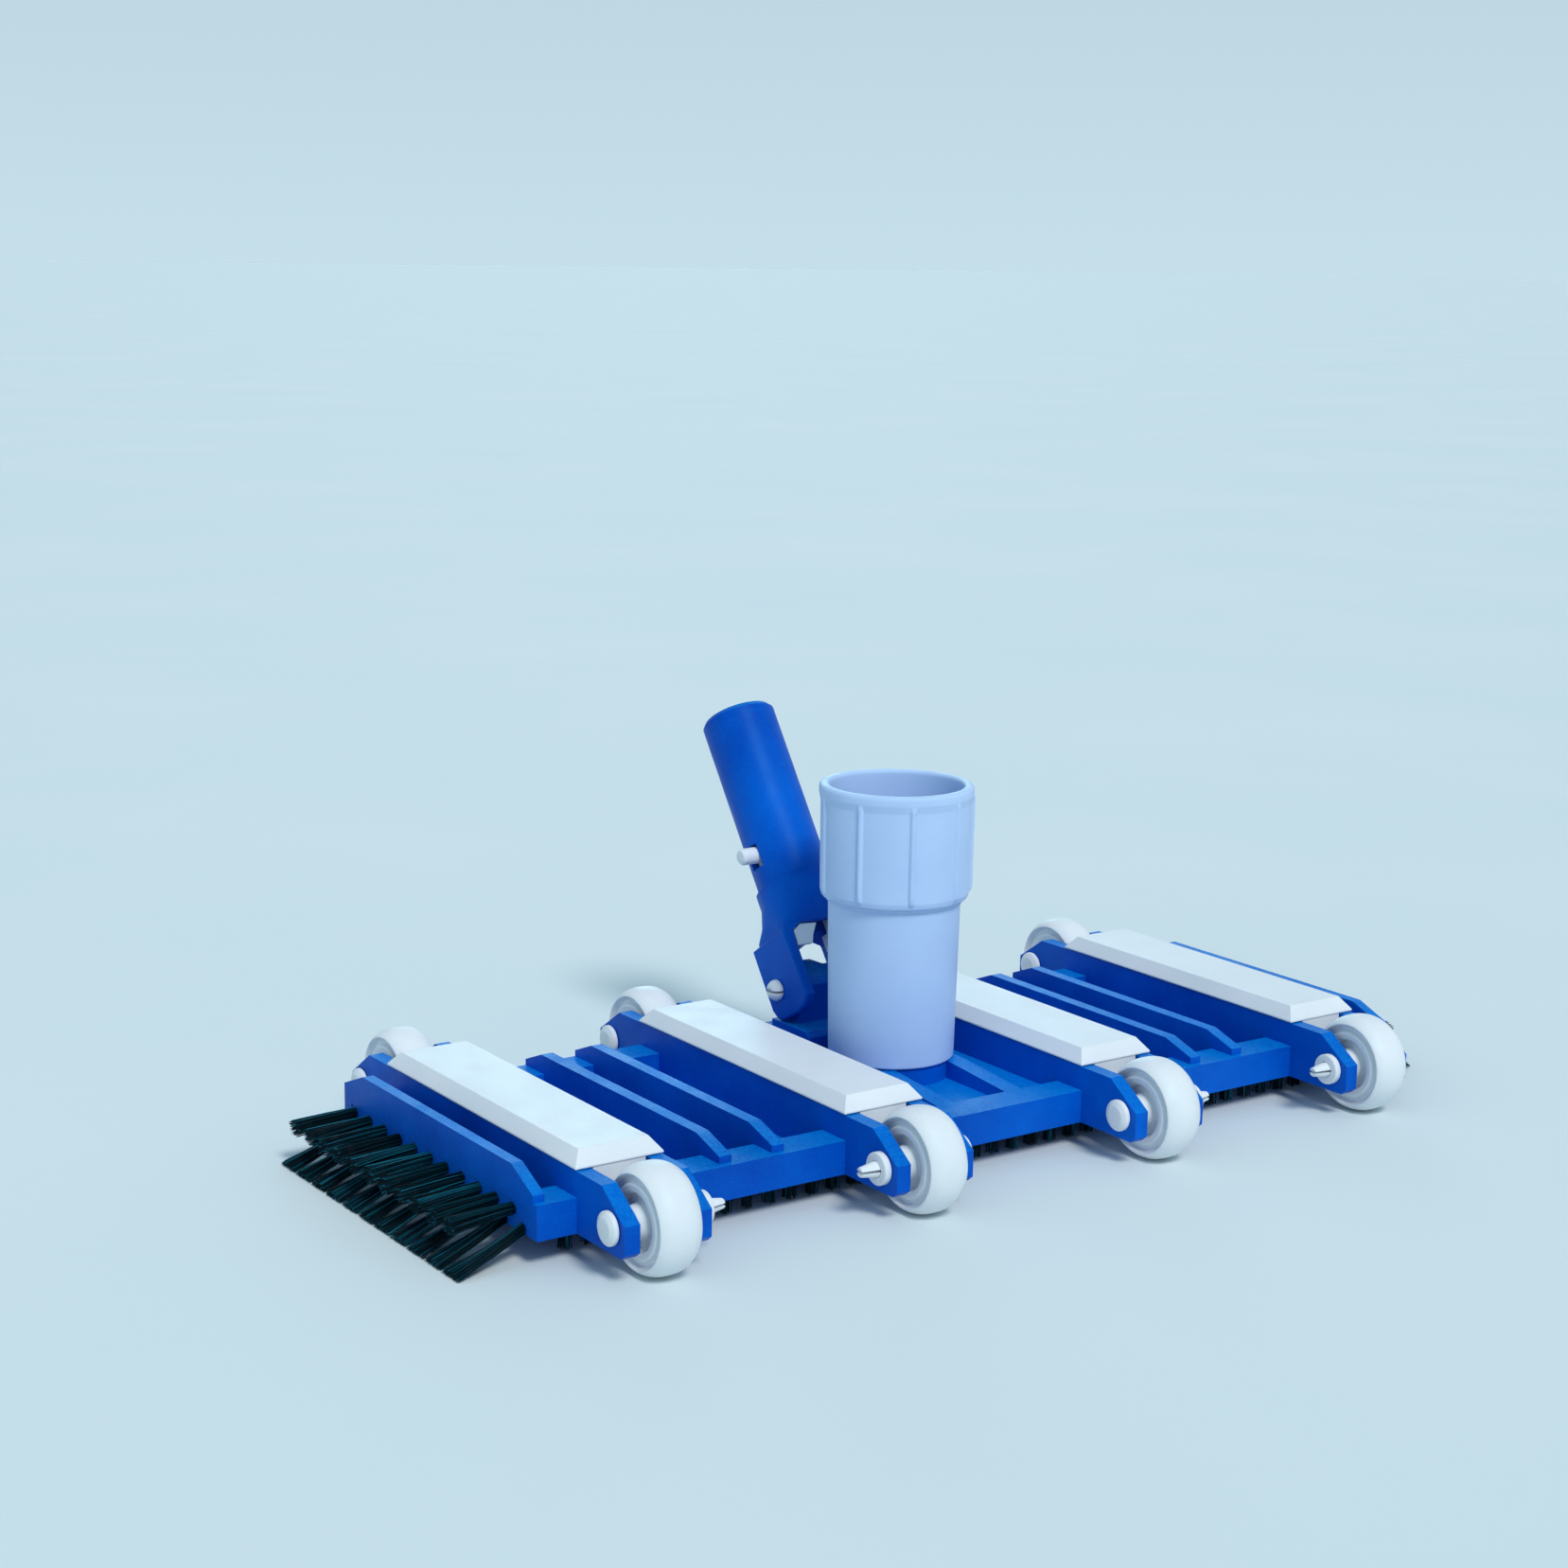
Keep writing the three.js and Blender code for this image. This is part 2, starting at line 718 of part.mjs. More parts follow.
add("base_moulding", baseMoulding(), "blue");
barCentres.forEach((x, i) => {
  add(`weight_cap_${i + 1}`, weightCap(), "white").position.x = x;
  add(`weight_bar_${i + 1}`, weightBar(), "steel").position.x = x;
  for (const [end, y] of [["front", -axleY], ["rear", axleY]]) {
    const name = `${end}_${i + 1}`;
    const turn = end === "front" && i % 2 ? Math.PI : 0; // every other front pin goes in from the right
    for (const [piece, solid] of [["wheel", wheel()], ["axle", axlePin()], ["washer", washer()]]) {
      const mesh = add(`${piece}_${name}`, solid, "white");
      mesh.position.set(x, y, axleZ);
      mesh.rotation.z = turn;
    }
  }
});
add("side_brush_left", sideBrush(), "bristle");
add("side_brush_right", sideBrush(), "bristle").rotation.z = Math.PI;
add("floor_brush_front", floorBrush(-tufts.floorRowY), "bristle");
add("floor_brush_rear", floorBrush(tufts.floorRowY), "bristle");
add("hose_port", hosePort(), "blue");
add("port_seal", portSeal(), "rubber");
add("cuff_sleeve", cuffSleeve(), "lilac");
add("swivel_collar", swivelCollar(), "lilac");
add("swivel_ring", retainingRing(), "lilac");
add("handle_bracket", handleBracket(), "blue");
["left", "right"].forEach((side, i) =>
  add(`bracket_screw_${side}`, bracketScrew(), "steel").position.set(screwX[i], screwY, 0),
);

const handle = new THREE.Group();
handle.position.set(0, pivot.y, pivot.z);
handle.rotation.x = -tilt;
head.add(handle);
add("handle_fork", handleFork(), "blue", handle);
add("pivot_pin", pivotPin(), "white", handle);
add("clip_bend", clipBend(), "white", handle);
add("clip_leg_left", clipLeg(-1), "white", handle);
add("clip_leg_right", clipLeg(1), "white", handle);

// The origin is under the middle of the whole part, handle included.
const extent = new THREE.Box3().setFromObject(head);
head.position.set(-(extent.min.x + extent.max.x) / 2, -(extent.min.y + extent.max.y) / 2, -extent.min.z);

export default head;
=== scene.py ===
import json
import math

import bmesh
import bpy
import numpy as np
from mathutils import Matrix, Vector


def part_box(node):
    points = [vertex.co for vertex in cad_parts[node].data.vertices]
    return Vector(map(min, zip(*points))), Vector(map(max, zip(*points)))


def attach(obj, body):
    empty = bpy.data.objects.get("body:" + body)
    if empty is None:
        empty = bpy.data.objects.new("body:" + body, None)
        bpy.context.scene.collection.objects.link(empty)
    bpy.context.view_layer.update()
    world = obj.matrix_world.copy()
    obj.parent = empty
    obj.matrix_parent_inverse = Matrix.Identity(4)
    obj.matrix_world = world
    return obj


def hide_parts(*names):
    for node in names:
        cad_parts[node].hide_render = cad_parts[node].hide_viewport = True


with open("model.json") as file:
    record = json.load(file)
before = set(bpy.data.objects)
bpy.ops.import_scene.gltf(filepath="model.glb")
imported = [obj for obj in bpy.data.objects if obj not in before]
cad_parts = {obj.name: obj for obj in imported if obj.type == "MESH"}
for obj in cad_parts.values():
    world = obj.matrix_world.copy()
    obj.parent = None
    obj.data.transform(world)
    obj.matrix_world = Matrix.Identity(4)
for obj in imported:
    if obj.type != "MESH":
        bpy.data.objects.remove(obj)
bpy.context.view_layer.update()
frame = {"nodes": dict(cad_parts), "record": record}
mm = 0.001
rng = np.random.default_rng(11)


def nodeMiddle(node):
    low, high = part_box(node)
    return (np.array(low) + np.array(high)) / 2


# The drawing's origin is on the port's axis; its sizes are millimetres from there.
portFoot = 9.1
origin = np.array([0, nodeMiddle("hose_port")[1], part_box("hose_port")[0][2] - portFoot * mm])
print("frame loaded, drawing origin at", origin.round(5))

# Place and turn from the photograph's perspective; degrees, and focal length in image pixels.
view = {
    "place": (-0.5558, -0.7369, 0.3012),
    "yaw": 34.82,
    "pitch": 11.19,
    "roll": 0.89,
    "focal": 2843,
    "imageWidth": 1657,
    "sensor": 36,
    "near": 0.01,
}


def placeCamera():
    camera = bpy.data.objects.new("camera", bpy.data.cameras.new("camera"))
    bpy.context.scene.collection.objects.link(camera)
    yaw, pitch, roll = (math.radians(view[key]) for key in ("yaw", "pitch", "roll"))
    ahead = math.cos(pitch)
    forward = np.array([math.sin(yaw) * ahead, math.cos(yaw) * ahead, -math.sin(pitch)])
    level = np.array([math.cos(yaw), -math.sin(yaw), 0])
    upright = np.cross(level, forward)
    right = level * math.cos(roll) + upright * math.sin(roll)
    up = upright * math.cos(roll) - level * math.sin(roll)
    turn = np.eye(4)
    turn[:3, 0], turn[:3, 1], turn[:3, 2], turn[:3, 3] = right, up, -forward, view["place"]
    camera.matrix_world = Matrix(turn.tolist())
    camera.data.sensor_width = view["sensor"]
    camera.data.lens = view["focal"] / view["imageWidth"] * view["sensor"]
    camera.data.clip_start = view["near"]
    bpy.context.scene.camera = camera


# shader maths
class Wire:
    # One output socket; arithmetic on it adds Math nodes to its tree.
    def __init__(self, finish, socket):
        self.finish = finish
        self.socket = socket

    def maths(self, operation, other, swapped=False):
        pair = [other, self] if swapped else [self, other]
        settings = {"operation": operation}
        return self.finish.node("ShaderNodeMath", settings, {0: pair[0], 1: pair[1]})

    def __add__(self, other):
        return self.maths("ADD", other)

    def __sub__(self, other):
        return self.maths("SUBTRACT", other)

    def __mul__(self, other):
        return self.maths("MULTIPLY", other)

    def __rsub__(self, other):
        return self.maths("SUBTRACT", other, True)

    def __pow__(self, other):
        return self.maths("POWER", other)

    __radd__ = __add__
    __rmul__ = __mul__


class Finish:
    # The nodes of a new material or world, all made by one method.
    def __init__(self, owner, shader="Principled BSDF", **fixed):
        owner.use_nodes = True
        self.material = owner
        self.tree = owner.node_tree
        self.shader = self.tree.nodes[shader]
        for socket, value in fixed.items():
            self.shader.inputs[socket.replace("_", " ")].default_value = value

    def node(self, kind, settings=None, sockets=None, output=0):
        made = self.tree.nodes.new(kind)
        for key, value in (settings or {}).items():
            setattr(made, key, value)
        for key, value in (sockets or {}).items():
            if isinstance(value, Wire):
                self.tree.links.new(value.socket, made.inputs[key])
            else:
                made.inputs[key].default_value = value
        return Wire(self, made.outputs[output])

    def feed(self, socket, wire):
        self.tree.links.new(wire.socket, self.shader.inputs[socket])

    def coordinates(self, kind="Object"):
        return self.node("ShaderNodeTexCoord", output=kind)

    def height(self, vector):
        return self.node("ShaderNodeSeparateXYZ", {}, {"Vector": vector}, output="Z")

    def stretched(self, where, scale):
        return self.node("ShaderNodeMapping", {}, {"Vector": where, "Scale": scale})

    def noise(self, where, scale, detail=3.0, roughness=0.55):
        sockets = {"Vector": where, "Scale": scale, "Detail": detail, "Roughness": roughness}
        return self.node("ShaderNodeTexNoise", {}, sockets)

    def ramp(self, wire, start, stop, low=0, high=1):
        # Maps start to stop onto low to high, and holds the ends.
        sockets = {"Value": wire, "From Min": start, "From Max": stop}
        sockets.update({"To Min": low, "To Max": high})
        return self.node("ShaderNodeMapRange", {"clamp": True}, sockets)

    def spread(self, noise, low, high):
        # Noise mostly lies from 0.3 to 0.7.
        return self.ramp(noise, 0.3, 0.7, low, high)

    def mix(self, amount, first, second):
        settings = {"data_type": "RGBA", "clamp_factor": True}
        sockets = {"Factor": amount, "A": first, "B": second}
        return self.node("ShaderNodeMix", settings, sockets, output="Result")

    def bump(self, height, distance, strength=1.0):
        sockets = {"Height": height, "Distance": distance, "Strength": strength}
        self.feed("Normal", self.node("ShaderNodeBump", {}, sockets))


# finishes
# pale is the colour of the specks, the scuffs and the painted sheen on faces that look up.
mouldedLooks = {
    "blue": {
        "deep": (0.0, 0.06, 0.44, 1),
        "bright": (0.0, 0.11, 0.6, 1),
        "pale": (0.0, 0.37, 0.84, 1),
        "rough": (0.38, 0.52),
        "shine": 0.15,
        "topSheen": 0.35,  # painted sheen: how much paler the faces that look up are
        "scuff": 0.35,
    },
    "white": {
        "deep": (0.73, 0.77, 0.8, 1),
        "bright": (0.8, 0.82, 0.85, 1),
        "pale": (0.92, 0.93, 0.94, 1),
        "rough": (0.36, 0.5),
        "shine": 0.35,
        "topSheen": 0.2,
        "scuff": 0.35,
    },
    "lilac": {
        "deep": (0.43, 0.58, 0.85, 1),
        "bright": (0.49, 0.65, 0.91, 1),
        "pale": (0.62, 0.78, 0.98, 1),
        "rough": (0.36, 0.5),
        "shine": 0.3,
        "topSheen": 0.1,
        "scuff": 0.2,
    },
}
# Patterns shared by the moulded plastics: scales per metre, and how much each pattern does.
moulded = {
    "tint": (0.3, 0.8, 1, 1),
    "cloudScale": 28,
    "speckScale": 1500,
    "speckFrom": (0.5, 0.75),
    "specks": 0.12,
    "topFrom": (0.6, 0.95),  # how far a face looks up, from where painted sheen starts to where it is full
    "topSheenScale": 900,
    "topSheenRange": (0.2, 1.5),
    "streakStretch": (30, 260, 260),
    "streakScale": 3,
    "scuffFrom": (0.6, 0.74),
    "scuffPale": 0.3,
    "scuffRough": 0.25,
    "roughScale": 90,
    "grainScale": 2200,
    "grain": 0.7,
    "sinkScale": 55,
    "sinks": 0.9,
    "scuffDepth": 0.4,
    "relief": 0.00012,
    "reliefStrength": 0.6,
}


def mouldedPlastic(name, look):
    # Cloudy pigment, fine specks, painted sheen that makes faces looking up paler, soft sink marks
    # and fine scuffs.
    owner = bpy.data.materials.new(name)
    finish = Finish(owner, Specular_IOR_Level=look["shine"], Specular_Tint=moulded["tint"])
    where = finish.coordinates()
    cloud = finish.spread(finish.noise(where, moulded["cloudScale"], 4), 0, 1)
    colour = finish.mix(cloud, look["deep"], look["bright"])
    glitter = finish.noise(where, moulded["speckScale"], 2, 0.8)
    specks = finish.ramp(glitter, *moulded["speckFrom"], high=moulded["specks"])
    colour = finish.mix(specks, colour, look["pale"])
    # Painted sheen: faces that look up are mixed towards the pale colour, in patches.
    up = finish.height(finish.coordinates("Normal"))
    top = finish.ramp(up, *moulded["topFrom"], high=look["topSheen"])
    patchy = finish.spread(finish.noise(where, moulded["topSheenScale"], 3, 0.7), *moulded["topSheenRange"])
    colour = finish.mix(top * patchy, colour, look["pale"])
    along = finish.stretched(where, moulded["streakStretch"])
    streaks = finish.noise(along, moulded["streakScale"], 5, 0.7)
    marks = finish.ramp(streaks, *moulded["scuffFrom"], high=look["scuff"])
    finish.feed("Base Color", finish.mix(marks * moulded["scuffPale"], colour, look["pale"]))
    rough = finish.spread(finish.noise(where, moulded["roughScale"], 4), *look["rough"])
    finish.feed("Roughness", rough + marks * moulded["scuffRough"])
    grain = finish.noise(where, moulded["grainScale"], 2) * moulded["grain"]
    sinks = finish.noise(where, moulded["sinkScale"], 1) * moulded["sinks"]
    height = grain + sinks + marks * moulded["scuffDepth"]
    finish.bump(height, moulded["relief"], moulded["reliefStrength"])
    return finish.material


nylonLook = {
    "dark": (0.0006, 0.009, 0.015, 1),
    "pale": (0.012, 0.28, 0.42, 1),
    "fewHighlights": 9,  # the higher, the fewer strands are painted pale as highlights
    "rough": (0.3, 0.5),
    "roughScale": 400,
    "shine": 0.1,
}


def bristleNylon():
    # Near-black nylon, each strand a little different; the few palest strands are painted
    # highlights.
    owner = bpy.data.materials.new("bristleNylon")
    finish = Finish(owner, Specular_IOR_Level=nylonLook["shine"])
    strand = finish.node("ShaderNodeAttribute", {"attribute_name": "strand"}, output="Fac")
    pale = strand ** nylonLook["fewHighlights"]
    finish.feed("Base Color", finish.mix(pale, nylonLook["dark"], nylonLook["pale"]))
    cloud = finish.noise(finish.coordinates(), nylonLook["roughScale"], 2)
    finish.feed("Roughness", finish.spread(cloud, *nylonLook["rough"]))
    return finish.material


steelLook = {
    "dark": (0.3, 0.31, 0.32, 1),
    "pale": (0.5, 0.51, 0.52, 1),
    "rough": (0.3, 0.5),
    "brushStretch": (900, 30, 900),
    "brushScale": 2,
    "relief": 0.00004,
}


def bareSteel():
    finish = Finish(bpy.data.materials.new("bareSteel"), Metallic=1.0)
    along = finish.stretched(finish.coordinates(), steelLook["brushStretch"])
    brushed = finish.noise(along, steelLook["brushScale"])
    finish.feed("Base Color", finish.mix(brushed, steelLook["dark"], steelLook["pale"]))
    finish.feed("Roughness", finish.spread(brushed, *steelLook["rough"]))
    finish.bump(brushed, steelLook["relief"])
    return finish.material


rubberLook = {
    "dark": (0.008, 0.008, 0.009, 1),
    "pale": (0.02, 0.02, 0.022, 1),
    "cloudScale": 300,
    "rough": (0.55, 0.75),
    "roughScale": 900,
    "shine": 0.35,
}


def sealRubber():
    owner = bpy.data.materials.new("sealRubber")
    finish = Finish(owner, Specular_IOR_Level=rubberLook["shine"])
    where = finish.coordinates()
    cloud = finish.noise(where, rubberLook["cloudScale"])
    finish.feed("Base Color", finish.mix(cloud, rubberLook["dark"], rubberLook["pale"]))
    rough = finish.noise(where, rubberLook["roughScale"])
    finish.feed("Roughness", finish.spread(rough, *rubberLook["rough"]))
    return finish.material


finishOfSlot = {
    slot: mouldedPlastic(slot + "Plastic", look) for slot, look in mouldedLooks.items()
}
finishOfSlot["bristle"] = bristleNylon()
finishOfSlot["steel"] = bareSteel()
finishOfSlot["seal"] = sealRubber()
slotOfNode = {part["node"]: part["material_slot"] for part in frame["record"]["subparts"]}
bodyOfNode = {
    node: body for body, nodes in frame["record"]["behaviour"]["bodies"].items() for node in nodes
}
for node, piece in frame["nodes"].items():
    piece.data.materials.clear()
    piece.data.materials.append(finishOfSlot[slotOfNode[node]])
print("finishes made:", ", ".join(sorted(finishOfSlot)))


# making pieces
def addPiece(name, mesh, node, hides=True, slot=None):
    # A piece moves with its node's body, and looks like its node's slot unless one is given.
    piece = bpy.data.objects.new(name, mesh)
    bpy.context.scene.collection.objects.link(piece)
    slot = slot or slotOfNode[node]
    mesh.materials.clear()
    mesh.materials.append(finishOfSlot[slot])
    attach(piece, bodyOfNode[node])
    if hides:
        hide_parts(node)
    return piece


def meshOf(name, points, faces):
    mesh = bpy.data.meshes.new(name)
    mesh.from_pydata(np.asarray(points).tolist(), [], [list(face) for face in faces])
    return mesh


weldDistance = 2e-6


def tidyMesh(mesh, flat=0.0):
    # Merges doubles, joins faces that turn by less than flat, and turns every face outwards.
    work = bmesh.new()
    work.from_mesh(mesh)
    bmesh.ops.remove_doubles(work, verts=work.verts, dist=weldDistance)
    if flat:
        bmesh.ops.dissolve_limit(work, angle_limit=flat, verts=work.verts, edges=work.edges)
    bmesh.ops.recalc_face_normals(work, faces=work.faces)
    work.to_mesh(mesh)
    work.free()


def roundEdges(piece, width, angle=32):
    bevel = piece.modifiers.new("edges", "BEVEL")
    bevel.width = width
    bevel.segments = 3
    bevel.limit_method = "ANGLE"
    bevel.angle_limit = math.radians(angle)
    bevel.miter_outer = "MITER_ARC"
    weighted = piece.modifiers.new("normals", "WEIGHTED_NORMAL")
    weighted.keep_sharp = True
    piece.data.shade_smooth()


coplanar = math.radians(0.4)


def softCopy(node, width, **angle):
    # The node's own solid with its edges rounded as a mould leaves them.
    mesh = frame["nodes"][node].data.copy()
    mesh.name = node + "_moulded"
    tidyMesh(mesh, coplanar)
    roundEdges(addPiece(node + "_moulded", mesh, node), width, **angle)


def roundedProfile(corners, radii, steps=5):
    # Each corner of a closed profile becomes an arc; the points run round the profile in order.
    # An arc takes at most 0.48 of an edge, so two arcs never meet.
    corners = np.asarray(corners, float)
    back = np.roll(corners, 1, 0) - corners
    ahead = np.roll(corners, -1, 0) - corners
    backLength = np.linalg.norm(back, axis=1)
    aheadLength = np.linalg.norm(ahead, axis=1)
    back /= backLength[:, None]
    ahead /= aheadLength[:, None]
    angle = np.arccos(np.clip((back * ahead).sum(1), -1, 1))
    reach = np.asarray(radii, float) / np.tan(np.maximum(angle, 1e-3) / 2)
    reach = np.minimum(reach, 0.48 * np.minimum(backLength, aheadLength))
    start = corners + back * reach[:, None]
    end = corners + ahead * reach[:, None]
    t = np.linspace(0, 1, steps)[None, :, None]
    # A quadratic curve from tangent to tangent is close to the arc at these sizes.
    arc = (1 - t) ** 2 * start[:, None] + 2 * t * (1 - t) * corners[:, None] + t**2 * end[:, None]
    return arc.reshape(-1, 2)


def gridQuads(rows, columns):
    # Quads of a grid that closes on itself both ways.
    i, j = np.meshgrid(np.arange(rows), np.arange(columns), indexing="ij")
    here, below = i * columns, (i + 1) % rows * columns
    beside = (j + 1) % columns
    return np.stack([here + j, here + beside, below + beside, below + j], -1).reshape(-1, 4)


def turnedMesh(name, profile, axis, middle, sides, lift=None):
    # Profile of (radius, height) carried round an axis: radius * cos, radius * sin, height.
    # lift gives what is added to the radius.
    angles = np.linspace(0, 2 * math.pi, sides, endpoint=False)
    radius = np.repeat(profile[:, :1], sides, 1)
    height = np.repeat(profile[:, 1:], sides, 1)
    if lift is not None:
        radius = radius + lift(angles[None, :], profile[:, :1], profile[:, 1:])
    across, aside = radius * np.cos(angles), radius * np.sin(angles)
    order = [across, aside, height] if axis == "z" else [height, across, aside]
    points = np.stack(order, -1).reshape(-1, 3) * mm + np.asarray(middle)
    mesh = meshOf(name, points, gridQuads(len(profile), sides))
    tidyMesh(mesh)
    mesh.shade_smooth()
    return mesh


def cuboid(name, low, high):
    # A box from its low to its high corner.
    corners = np.array([[x, y, z] for x in (0, 1) for y in (0, 1) for z in (0, 1)], float)
    points = np.asarray(low) + corners * (np.asarray(high) - np.asarray(low))
    faces = [(0, 1, 3, 2), (4, 6, 7, 5), (0, 4, 5, 1), (2, 3, 7, 6), (0, 2, 6, 4), (1, 5, 7, 3)]
    return meshOf(name, points, faces)


def cutSlot(piece, middle, span, sizes):
    # Cuts a level slot out of a pin along X and keeps the result in the pin's mesh.
    near, far = sorted(span)
    corner = np.array([0, sizes["slotReach"], sizes["slot"] / 2])
    low, high = [near, 0, 0] - corner, [far, 0, 0] + corner
    mesh = cuboid("cutter", middle + low * mm, middle + high * mm)
    tidyMesh(mesh)
    cutter = bpy.data.objects.new("cutter", mesh)
    bpy.context.scene.collection.objects.link(cutter)
    slot = piece.modifiers.new("slot", "BOOLEAN")
    slot.operation = "DIFFERENCE"
    slot.solver = "EXACT"
    slot.object = cutter
    graph = bpy.context.evaluated_depsgraph_get()
    result = bpy.data.meshes.new_from_object(piece.evaluated_get(graph))
    piece.modifiers.clear()
    piece.data = result
    bpy.data.objects.remove(cutter)


# base, caps, bracket, handle and clip: the solids with moulded edges, widths in metres
edges = {
    "base_moulding": 0.0004,
    "handle_bracket": 0.0004,
    "handle_fork": 0.0005,
    "clip_leg_left": 0.0002,
    "clip_leg_right": 0.0002,
    "clip_bend": 0.0002,
}
capEdge = {"width": 0.0004, "angle": 20}
for node, width in edges.items():
    softCopy(node, width)
for number in range(1, 5):
    softCopy(f"weight_cap_{number}", **capEdge)
print("moulded copies made")


# wheels, pins and washers, turned about X; profiles of (radius, place along the axis)
wheel = {
    "side": [
        (2.9, 9), (5.2, 9), (5.8, 4.6), (8.6, 4.6), (9.2, 6.8), (11.6, 7), (12.3, 5.3), (13.5, 5.3),
        (14.7, 7.4),
    ],
    "soft": [0.3, 0.6, 0.7, 0.3, 0.5, 0.7, 0.5, 0.6, 0.5],
    "radius": 17.4,
    "halfWidth": 7.4,
    "crownDrop": 2.5,
    "crownPower": 2.8,
    "treadShare": 0.97,
    "treadSteps": 25,
    "sides": 120,
}


def wheelProfile():
    # Stepped faces; the tread falls away as a power of the distance from its middle.
    side = np.array(wheel["side"])
    x = np.linspace(wheel["treadShare"], -wheel["treadShare"], wheel["treadSteps"])
    tread = wheel["radius"] - wheel["crownDrop"] * np.abs(x) ** wheel["crownPower"]
    crown = np.stack([tread, x * wheel["halfWidth"]], -1)
    radii = wheel["soft"] + [0] * len(crown) + wheel["soft"][::-1]
    return roundedProfile(np.vstack([side, crown, side[::-1] * [1, -1]]), radii, 6)


pin = {
    "profile": [
        (0, -18.1), (3.4, -18), (5.4, -17), (5.4, -15.6), (2.6, -15.6), (2.6, 18.4), (1.6, 24.3),
        (0, 24.3),
    ],
    "soft": [0, 1, 0.8, 0.3, 0.1, 0.4, 0.5, 0],
    "sides": 48,
    "slot": 0.9,
    "slotSpan": (13, 30),
    "slotReach": 10,
}
washer = {
    "profile": [(2.75, 15.6), (5.4, 15.6), (5.4, 18), (2.75, 18)],
    "soft": [0.1, 0.2, 0.5, 0.2],
    "sides": 64,
}


def addTurned(kind, place, node, profile, sides):
    mesh = turnedMesh(kind, profile, "x", nodeMiddle("wheel_" + place), sides)
    return addPiece(f"{kind}_turned_{place}", mesh, node)


def makeWheel(place):
    addTurned("wheel", place, "wheel_" + place, wheelProfile(), wheel["sides"])
    middle = nodeMiddle("wheel_" + place)
    tip = np.sign(nodeMiddle("axle_" + place)[0] - middle[0])
    pinProfile = roundedProfile(pin["profile"], pin["soft"]) * [1, tip]
    piece = addTurned("pin", place, "axle_" + place, pinProfile, pin["sides"])
    cutSlot(piece, middle, [tip * end for end in pin["slotSpan"]], pin)
    washerProfile = roundedProfile(washer["profile"], washer["soft"], 4) * [1, tip]
    addTurned("washer", place, "washer_" + place, washerProfile, washer["sides"])


for number in range(1, 5):
    makeWheel(f"front_{number}")
    makeWheel(f"rear_{number}")
print("wheels, pins and washers turned")


# port, sleeve and ribbed collar on the port's axis; profiles of (radius, height)
sleeve = {
    "profile": [
        (19.7, 23.3), (22.2, 23.3), (23.3, 83.5), (24.6, 83.5), (24.6, 86.5), (22.3, 87.9),
        (19.7, 87.9),
    ],
    "soft": [0.3, 0.9, 0.2, 0.2, 0.3, 0.3, 0.3],
    "sides": 144,
}
collar = {
    "profile": [
        (25, 80.5), (25.7, 81.2), (26.2, 83), (26.4, 114.5), (27, 117.2), (27, 120.5),
        (23.4, 120.5), (23.4, 94.5), (18.6, 92), (18.6, 88.4), (25, 88.4),
    ],
    "soft": [0.2, 1.4, 2, 3, 2, 1.6, 1.4, 1, 0.5, 0.3, 0.2],
    "sides": 720,
    "step": 1.8,
    "ribs": 9,
    "firstRib": -114.4,  # degrees from +X
    "ribRadius": 1.0,
    "ribWall": 25.5,  # ribs rise only outside this radius
    "ribEnds": (82.4, 116.6),
    "ribFade": 1.2,
}
port = {
    "profile": [
        (16.8, 9.1), (24, 9.1), (24, 10.8), (19.2, 10.8), (19.2, 60.5), (18.2, 62), (16.8, 62),
    ],
    "soft": [0.8, 0.3, 0.2, 0.3, 0.5, 0.4, 0.3],
    "sides": 96,
}


def subdivided(profile, longest):
    # Splits long edges of a closed profile so that ribs can swell along them.
    after = np.roll(profile, -1, 0)
    parts = np.maximum(np.ceil(np.linalg.norm(after - profile, axis=1) / longest), 1).astype(int)
    start = np.repeat(profile, parts, 0)
    step = np.repeat((after - profile) / parts[:, None], parts, 0)
    order = np.arange(parts.sum()) - np.repeat(np.cumsum(parts) - parts, parts)
    return start + step * order[:, None]


def collarRibs(angle, radius, height):
    # Half-round beads on the outer wall: rise = sqrt(r^2 - d^2), fading at both ends.
    spacing = 2 * math.pi / collar["ribs"]
    offset = (angle - math.radians(collar["firstRib"]) + spacing / 2) % spacing - spacing / 2
    rise = np.sqrt(np.clip(collar["ribRadius"] ** 2 - (offset * radius) ** 2, 0, None))
    low, high = collar["ribEnds"]
    start = np.clip((height - low) / collar["ribFade"], 0, 1)
    end = np.clip((high - height) / collar["ribFade"], 0, 1)
    return rise * np.sqrt(start * end) * (radius > collar["ribWall"])


sleeveProfile = roundedProfile(sleeve["profile"], sleeve["soft"])
sleeveMesh = turnedMesh("sleeve", sleeveProfile, "z", origin, sleeve["sides"])
addPiece("cuff_sleeve_turned", sleeveMesh, "cuff_sleeve")
collarProfile = subdivided(roundedProfile(collar["profile"], collar["soft"], 6), collar["step"])
collarMesh = turnedMesh("collar", collarProfile, "z", origin, collar["sides"], collarRibs)
addPiece("swivel_collar_ribbed", collarMesh, "swivel_collar")
portProfile = roundedProfile(port["profile"], port["soft"])
portMesh = turnedMesh("port", portProfile, "z", origin, port["sides"])
addPiece("hose_port_turned", portMesh, "hose_port")
print("port, sleeve and collar turned")


